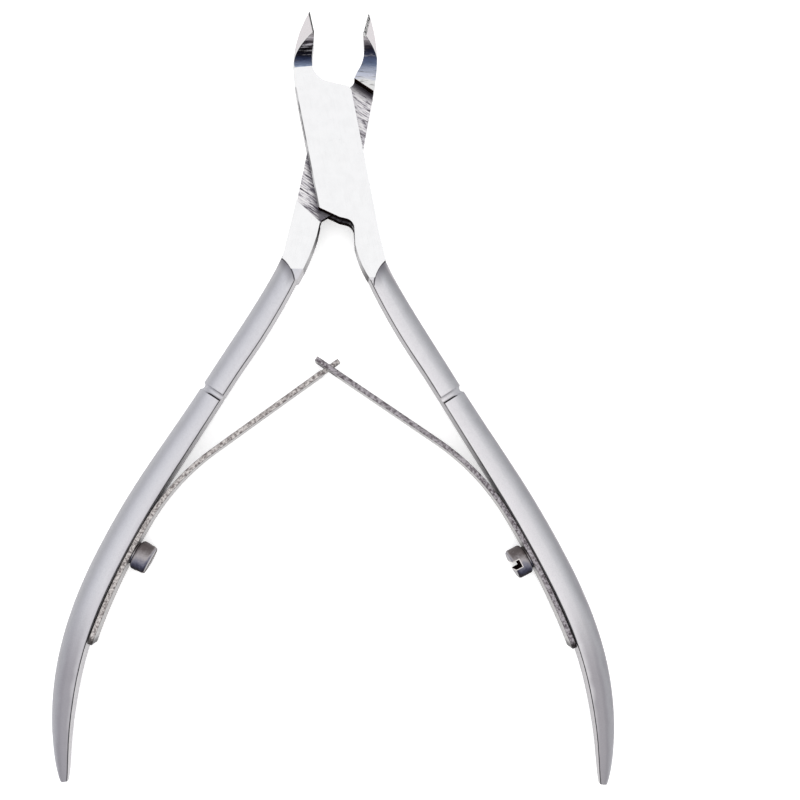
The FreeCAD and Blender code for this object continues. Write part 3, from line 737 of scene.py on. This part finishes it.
@dataclass
class LeafSpring:
    """One leaf spring: a bowed tail, one bend and a straight arm with a window or a tongue.

    It is drawn on the right and mirrored for the left.
    """

    node: str
    side: Side
    lever: str
    body: str
    tail_end: tuple[float, float]
    bend_start: tuple[float, float]
    tail_radius: float
    windowed: bool
    rim_light: tuple[float, float, float]
    rim_dark: tuple[float, float, float]
    crossing_x: float = -0.7
    crossing_y: float = -29.5
    bend_radius: float = 33.0
    screw_place: float = 13.8
    width: float = 3.4
    thickness: float = 0.68
    window_width: float = 1.7
    tongue_width: float = 1.3
    window_before: float = 1.5
    window_after: float = 1.7
    end_wall: float = 0.45
    tongue_shoulder: float = 1.15
    tongue_length: float = 1.7
    edge: float = 0.09
    step: float = 0.6
    tail: Vector = field(init=False)
    start: Vector = field(init=False)
    meeting: Vector = field(init=False)
    tail_centre: Vector = field(init=False)
    bend_centre: Vector = field(init=False)
    last: Vector = field(init=False)

    def __post_init__(self) -> None:
        """Work out the bend, which runs smoothly on from the tail and into the straight arm."""
        self.tail = Vector((*self.tail_end, 0.0))
        self.start = Vector((*self.bend_start, 0.0))
        self.meeting = Vector((self.crossing_x * self.side.value, self.crossing_y, 0.0))
        chord = self.start - self.tail
        inward = Vector((-chord.y, chord.x, 0.0)).normalized()
        depth = math.sqrt(self.tail_radius ** 2 - (chord.length / 2) ** 2)
        self.tail_centre = (self.tail + self.start) / 2 + inward * depth
        self.bend_centre = self.start + (self.tail_centre - self.start).normalized() * self.bend_radius
        away = self.meeting - self.bend_centre
        share = (self.bend_radius / away.length) ** 2
        aside = Vector((away.y, -away.x, 0.0)) * math.sqrt(share - share ** 2)
        self.last = self.bend_centre + away * share + aside

    def _placed(self, point: Vector, height: float = MID_HEIGHT) -> Vector:
        """A point of the right-hand drawing on the spring's own side, in metres."""
        return Vector((point.x * self.side.value, point.y, height)) * MM

    def screw_seat(self) -> tuple[Vector, Vector]:
        """Place the screw on the inner face of the tail.

        Returns:
            The head's seat, in metres, and the unit vector out of the leaf.
        """
        spoke = (self.tail - self.tail_centre).normalized()
        into = Matrix.Rotation(self.screw_place / self.tail_radius, 3, "Z") @ spoke
        seat = self.tail_centre + into * (self.tail_radius - self.thickness / 2)
        return self._placed(seat), Vector((-into.x * self.side.value, -into.y, 0.0)).normalized()

    def _route(self) -> list[tuple[Vector, Vector]]:
        """Stations along the middle line.

        Returns:
            Points and directions in the plan, from the tail's end to the arm's end.
        """
        route = self._round(self.tail_centre, self.tail, self.start)[:-1]
        route += self._round(self.bend_centre, self.start, self.last)[:-1]
        run = self.meeting - self.last
        along = run.normalized()
        count = math.ceil(run.length / self.step)
        route += [(self.last + run * index / count, along) for index in range(count + 1)]
        reach, past = self._marks()[-1], 4
        return route + [(self.meeting + along * reach * index / past, along)
                        for index in range(1, past + 1)]

    def _round(self, centre: Vector, first: Vector, last: Vector) -> list[tuple[Vector, Vector]]:
        """Even stations on an arc, both ends included.

        Args:
            centre: The arc's centre.
            first: Where it starts.
            last: Where it ends.

        Returns:
            Points and directions in the plan.
        """
        spoke = first - centre
        turn = spoke.angle(last - centre)
        count = math.ceil(spoke.length * turn / self.step)
        stations = []
        for index in range(count + 1):
            here = Matrix.Rotation(turn * index / count, 3, "Z") @ spoke
            stations.append((centre + here, Vector((-here.y, here.x, 0.0)).normalized()))
        return stations

    def _marks(self) -> list[float]:
        """Distances from the crossing at which the strip's outline changes."""
        if self.windowed:
            return [-self.window_before, self.window_after, self.window_after + self.end_wall]
        return [-self.tongue_shoulder, self.tongue_length]

    def build(self) -> bpy.types.Object:
        """Make the spring's mesh in place of its CAD node.

        Returns:
            The finished spring.
        """
        route = self._route()
        arm = route[-1][1]
        marks = self._marks()
        stations = [item for item in route
                    if all(abs((item[0] - self.meeting).dot(arm) - mark) > 0.2 for mark in marks)]
        stations += [(self.meeting + arm * mark, arm) for mark in marks]
        stations.sort(key=lambda item: (item[0] - self.tail).length)
        distance = [(point - self.meeting).dot(arm) for point, _ in stations]
        half = self.width / 2
        inner = (self.window_width if self.windowed else self.tongue_width) / 2
        levels = [-half, -inner, inner, half]

        def kept(row: int, column: int) -> bool:
            """False in the window, and beside the tongue."""
            place = (distance[column] + distance[column + 1]) / 2
            if self.windowed:
                return not (row == 1 and marks[0] < place < marks[1])
            return row == 1 or place < marks[0]

        def corner(row: int, column: int, face: int) -> Vector:
            """A corner of the strip, in metres, on its own side."""
            point, along = stations[column]
            across = Vector((-along.y, along.x, 0.0)) * self.thickness * (face - 0.5)
            return self._placed(point + across, MID_HEIGHT + levels[row])

        mesh = Cells(3, len(stations) - 1, kept).mesh(self.node, corner)
        piece = bevelled(self.node + "_strip", mesh, self.edge)
        inward = (self.tail_centre - self.tail).normalized()
        away = Vector((inward.x * self.side.value, inward.y, 0.0))
        finish = SpringSteel(self.rim_light, self.rim_dark)
        end = (self.tail.x * self.side.value, self.tail.y)
        piece.data.materials.append(finish.make(self.node, end, away))
        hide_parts(self.node)
        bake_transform(piece)
        return piece


@dataclass
class SpringScrew:
    """Cheese-head screw: turned barrel head on a narrow collar, with a slot and a plain shank."""

    node: str
    body: str
    leaf: LeafSpring
    head_radius: float = 2.1
    head_height: float = 2.55
    rounding: float = 0.45
    collar_radius: float = 1.62
    collar_height: float = 0.3
    shank_radius: float = 1.0
    shank_length: float = 3.3
    slot_width: float = 1.05
    slot_depth: float = 1.0
    slot_turn: float = 0.0
    sides: int = 96

    def _profile(self) -> list[tuple[float, float]]:
        """Radius and distance outwards from the seat, from the shank's end to the head's middle.

        Returns:
            The profile's points.
        """
        points = [(0.0, -self.shank_length), (self.shank_radius, -self.shank_length),
                  (self.shank_radius, 0.0), (self.collar_radius, 0.0),
                  (self.collar_radius, self.collar_height * 0.6)]
        for base, start in ((self.collar_height, -90.0), (self.head_height - self.rounding, 0.0)):
            centre = base + self.rounding if start < 0 else base
            for index in range(7):
                angle = math.radians(start + 90.0 * index / 6)
                points.append((self.head_radius - self.rounding + math.cos(angle) * self.rounding,
                               centre + math.sin(angle) * self.rounding))
        points.append((0.0, self.head_height))
        return points

    def _lathe(self) -> bpy.types.Mesh:
        """Turn the profile about the screw's axis, X outwards from the leaf.

        Returns:
            The turned mesh.
        """
        work = bmesh.new()
        verts = [work.verts.new((out, radius, 0.0)) for radius, out in self._profile()]
        for first, last in zip(verts, verts[1:]):
            work.edges.new((first, last))
        bmesh.ops.spin(work, geom=work.verts[:] + work.edges[:], cent=(0, 0, 0), axis=(1, 0, 0),
                       angle=math.tau, steps=self.sides)
        bmesh.ops.remove_doubles(work, verts=work.verts, dist=0.0005)
        bmesh.ops.recalc_face_normals(work, faces=work.faces)
        mesh = bpy.data.meshes.new(self.node)
        work.to_mesh(mesh)
        work.free()
        return mesh

    def _cut_slot(self, piece: bpy.types.Object) -> None:
        """Saw the slot across the head, along the tool's depth.

        Args:
            piece: The turned screw.
        """
        cutter_mesh = bpy.data.meshes.new("slot_saw")
        work = bmesh.new()
        size = (2 * self.slot_depth, self.slot_width, 3 * self.head_radius)
        bmesh.ops.create_cube(work, size=1.0)
        bmesh.ops.scale(work, vec=size, verts=work.verts)
        bmesh.ops.translate(work, vec=(self.head_height, 0.0, 0.0), verts=work.verts)
        work.to_mesh(cutter_mesh)
        work.free()
        cutter = bpy.data.objects.new("slot_saw", cutter_mesh)
        bpy.context.scene.collection.objects.link(cutter)
        cut = piece.modifiers.new("slot", "BOOLEAN")
        cut.object = cutter
        cut.operation = "DIFFERENCE"
        cut.solver = "EXACT"
        view = bpy.context.evaluated_depsgraph_get()
        final = bpy.data.meshes.new_from_object(piece.evaluated_get(view))
        piece.modifiers.clear()
        piece.data = final
        bpy.data.objects.remove(cutter)

    def build(self) -> bpy.types.Object:
        """Make the screw in place of its CAD node.

        Returns:
            The finished screw.
        """
        rough = bpy.data.objects.new(self.node + "_rough", self._lathe())
        bpy.context.scene.collection.objects.link(rough)
        self._cut_slot(rough)
        piece = bevelled(self.node + "_turned", rough.data, 0.06, 2)
        bpy.data.objects.remove(rough)
        seat, outwards = self.leaf.screw_seat()
        upwards = Vector((0.0, 0.0, 1.0))
        spin = Matrix.Rotation(math.radians(self.slot_turn), 3, outwards)
        across_slot = spin @ upwards.cross(outwards)
        turn = Matrix((outwards, across_slot, spin @ upwards)).transposed().to_4x4()
        piece.data.transform(Matrix.Translation(seat) @ turn @ Matrix.Scale(MM, 4))
        piece.data.materials.clear()
        finish = ScrewSteel(self.slot_width / 2, self.head_height - self.slot_depth, self.head_height)
        piece.data.materials.append(finish.make(self.node, seat, outwards, across_slot))
        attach(piece, self.body)
        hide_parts(self.node)
        LOG.info("%s: %d faces", piece.name, len(piece.data.polygons))
        return piece


# Painted reflections on the hollow-ground jaw faces.
RIGHT_HOLLOW_REFLECTION = ((0.0, (0.80, 0.84, 0.92)), (0.08, (0.56, 0.61, 0.71)), (0.18, (0.37, 0.41, 0.52)),
                (0.27, (0.18, 0.21, 0.31)), (0.38, (0.08, 0.08, 0.12)), (0.56, (0.05, 0.035, 0.05)),
                (0.67, (0.15, 0.13, 0.15)), (0.82, (0.44, 0.42, 0.44)), (1.0, (0.66, 0.64, 0.65)))
LEFT_HOLLOW_REFLECTION = ((0.0, (0.87, 0.87, 0.87)), (0.08, (0.76, 0.77, 0.82)), (0.26, (0.68, 0.71, 0.79)),
               (0.36, (0.42, 0.47, 0.58)), (0.47, (0.33, 0.37, 0.49)), (0.58, (0.17, 0.19, 0.28)),
               (0.68, (0.10, 0.09, 0.12)), (0.78, (0.40, 0.38, 0.40)), (1.0, (0.70, 0.68, 0.69)))
# Painted shade across each handle, bright on the flat and darker on the round outer side.
RIGHT_HANDLE_SHADE = ((0.0, (0.96, 0.95, 0.96)), (0.2, (0.93, 0.92, 0.935)), (0.45, (0.89, 0.885, 0.90)),
                (0.62, (0.82, 0.82, 0.84)), (0.8, (0.67, 0.67, 0.69)), (0.93, (0.60, 0.59, 0.61)),
                (1.0, (0.74, 0.73, 0.74)))
LEFT_HANDLE_SHADE = ((0.0, (0.83, 0.82, 0.84)), (0.2, (0.88, 0.875, 0.895)), (0.4, (0.85, 0.85, 0.875)),
               (0.62, (0.79, 0.79, 0.82)), (0.85, (0.74, 0.74, 0.76)), (1.0, (0.73, 0.725, 0.74)))


@dataclass
class Lever:
    """One lever, shown by its own CAD node and dressed by region."""

    node: str
    finish: LeverFinish

    def dress(self) -> None:
        """Give the node its finish."""
        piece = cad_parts[self.node]
        piece.data.materials.clear()
        piece.data.materials.append(self.finish.make(self.node + "_steel"))
        LOG.info("%s: %d faces", self.node, len(piece.data.polygons))


@dataclass
class Stage:
    """Pale floor, soft light from above and the camera straight over the tool."""

    camera_height: float = 145.2
    camera_x: float = 0.27
    camera_y: float = -44.9
    lens: float = 46.67
    roll: float = 0.47

    def build(self) -> None:
        """Make floor, lights and camera."""
        self._floor()
        self._lights()
        self._camera()

    def _floor(self) -> None:
        """A wide pale floor just under the tool."""
        mesh = bpy.data.meshes.new("floor")
        half = 3.0
        mesh.from_pydata([(-half, -half, 0), (half, -half, 0), (half, half, 0), (-half, half, 0)], [],
                         [(0, 1, 2, 3)])
        floor = bpy.data.objects.new("floor", mesh)
        floor.location.z = -0.00002
        bpy.context.scene.collection.objects.link(floor)
        graph = Graph("pale_floor")
        graph.set(Base_Color=(0.93, 0.93, 0.93), Roughness=0.9, Emission_Color=(1.0, 1.0, 1.0),
                  Emission_Strength=0.45)
        floor.data.materials.append(graph.material)

    def _lights(self) -> None:
        """An even pale surround and one wide soft lamp overhead, a little to the left."""
        world = bpy.data.worlds.new("studio")
        world.use_nodes = True
        world.node_tree.nodes["Background"].inputs["Color"].default_value = (1.0, 1.0, 1.0, 1.0)
        world.node_tree.nodes["Background"].inputs["Strength"].default_value = 1.05
        bpy.context.scene.world = world
        lamp_data = bpy.data.lights.new("overhead", "AREA")
        lamp_data.shape = "DISK"
        lamp_data.size = 1.2
        lamp_data.energy = 1.6
        lamp = bpy.data.objects.new("overhead", lamp_data)
        lamp.location = (-0.15, 0.0, 0.9)
        lamp.rotation_euler = (0.0, math.radians(-9.0), 0.0)
        bpy.context.scene.collection.objects.link(lamp)

    def _camera(self) -> None:
        """Look straight down, with the frame shifted to put the tool where it belongs."""
        data = bpy.data.cameras.new("camera")
        data.lens = self.lens
        data.sensor_width = 36.0
        data.shift_x = 0.081
        data.shift_y = 0.10
        data.clip_start = 0.001
        camera = bpy.data.objects.new("camera", data)
        camera.location = (self.camera_x * MM, self.camera_y * MM, self.camera_height * MM)
        camera.rotation_euler = (0.0, 0.0, math.radians(self.roll))
        bpy.context.scene.collection.objects.link(camera)
        bpy.context.scene.camera = camera


def main() -> None:
    """Build and dress the nipper in order."""
    logging.basicConfig(level=logging.INFO, format="%(message)s")
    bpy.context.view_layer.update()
    bpy.context.scene.view_settings.view_transform = "Standard"
    Stage().build()
    Lever("box_lever", LeverFinish(
        Side.RIGHT, bow=Bow(2.82, 145.0), across_shade_stops=RIGHT_HANDLE_SHADE,
        inner_wall=(0.78, 0.77, 0.78), satin_line=-17.65,
        root_arc=((1.72, -18.5), (2.62, -16.95), (3.78, -16.0)), hollow_reflection_stops=RIGHT_HOLLOW_REFLECTION,
        hollow_low=11.0, hollow_high=16.3, hone_reach=0.02, hone_light=0.42,
        wheel_y=15.475, wheel_z=12.402, box_edge_shade_line=True)).dress()
    Lever("tongue_lever", LeverFinish(
        Side.LEFT, bow=Bow(3.35, 110.0), across_shade_stops=LEFT_HANDLE_SHADE,
        inner_wall=(0.82, 0.81, 0.82), satin_line=-16.55,
        root_arc=((1.85, -18.5), (2.75, -16.95), (4.1, -15.9)), hollow_reflection_stops=LEFT_HOLLOW_REFLECTION,
        hollow_low=9.4, hollow_high=16.3, hone_reach=0.8, hone_light=0.86,
        wheel_y=14.851, wheel_z=12.286, ground_below=12.2)).dress()
    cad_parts["pivot_pin"].data.materials[0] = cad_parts["box_lever"].data.materials[0]
    springs = [
        LeafSpring("windowed_leaf_spring", Side.RIGHT, "box_lever", "windowed_spring",
                   tail_end=(33.16, -67.568), bend_start=(24.034, -49.561), tail_radius=117.126,
                   windowed=True, rim_light=(0.72, 0.70, 0.72), rim_dark=(0.36, 0.33, 0.35)),
        LeafSpring("tongued_leaf_spring", Side.LEFT, "tongue_lever", "tongued_spring",
                   tail_end=(33.086, -67.634), bend_start=(25.536, -51.151), tail_radius=96.257,
                   windowed=False, rim_light=(0.86, 0.84, 0.83), rim_dark=(0.46, 0.43, 0.43))]
    screws = [SpringScrew("spring_screw_right", "box_lever", springs[0]),
              SpringScrew("spring_screw_left", "tongue_lever", springs[1], slot_turn=80.0)]
    for piece in springs + screws:
        piece.build()


if __name__ == "__main__":
    main()
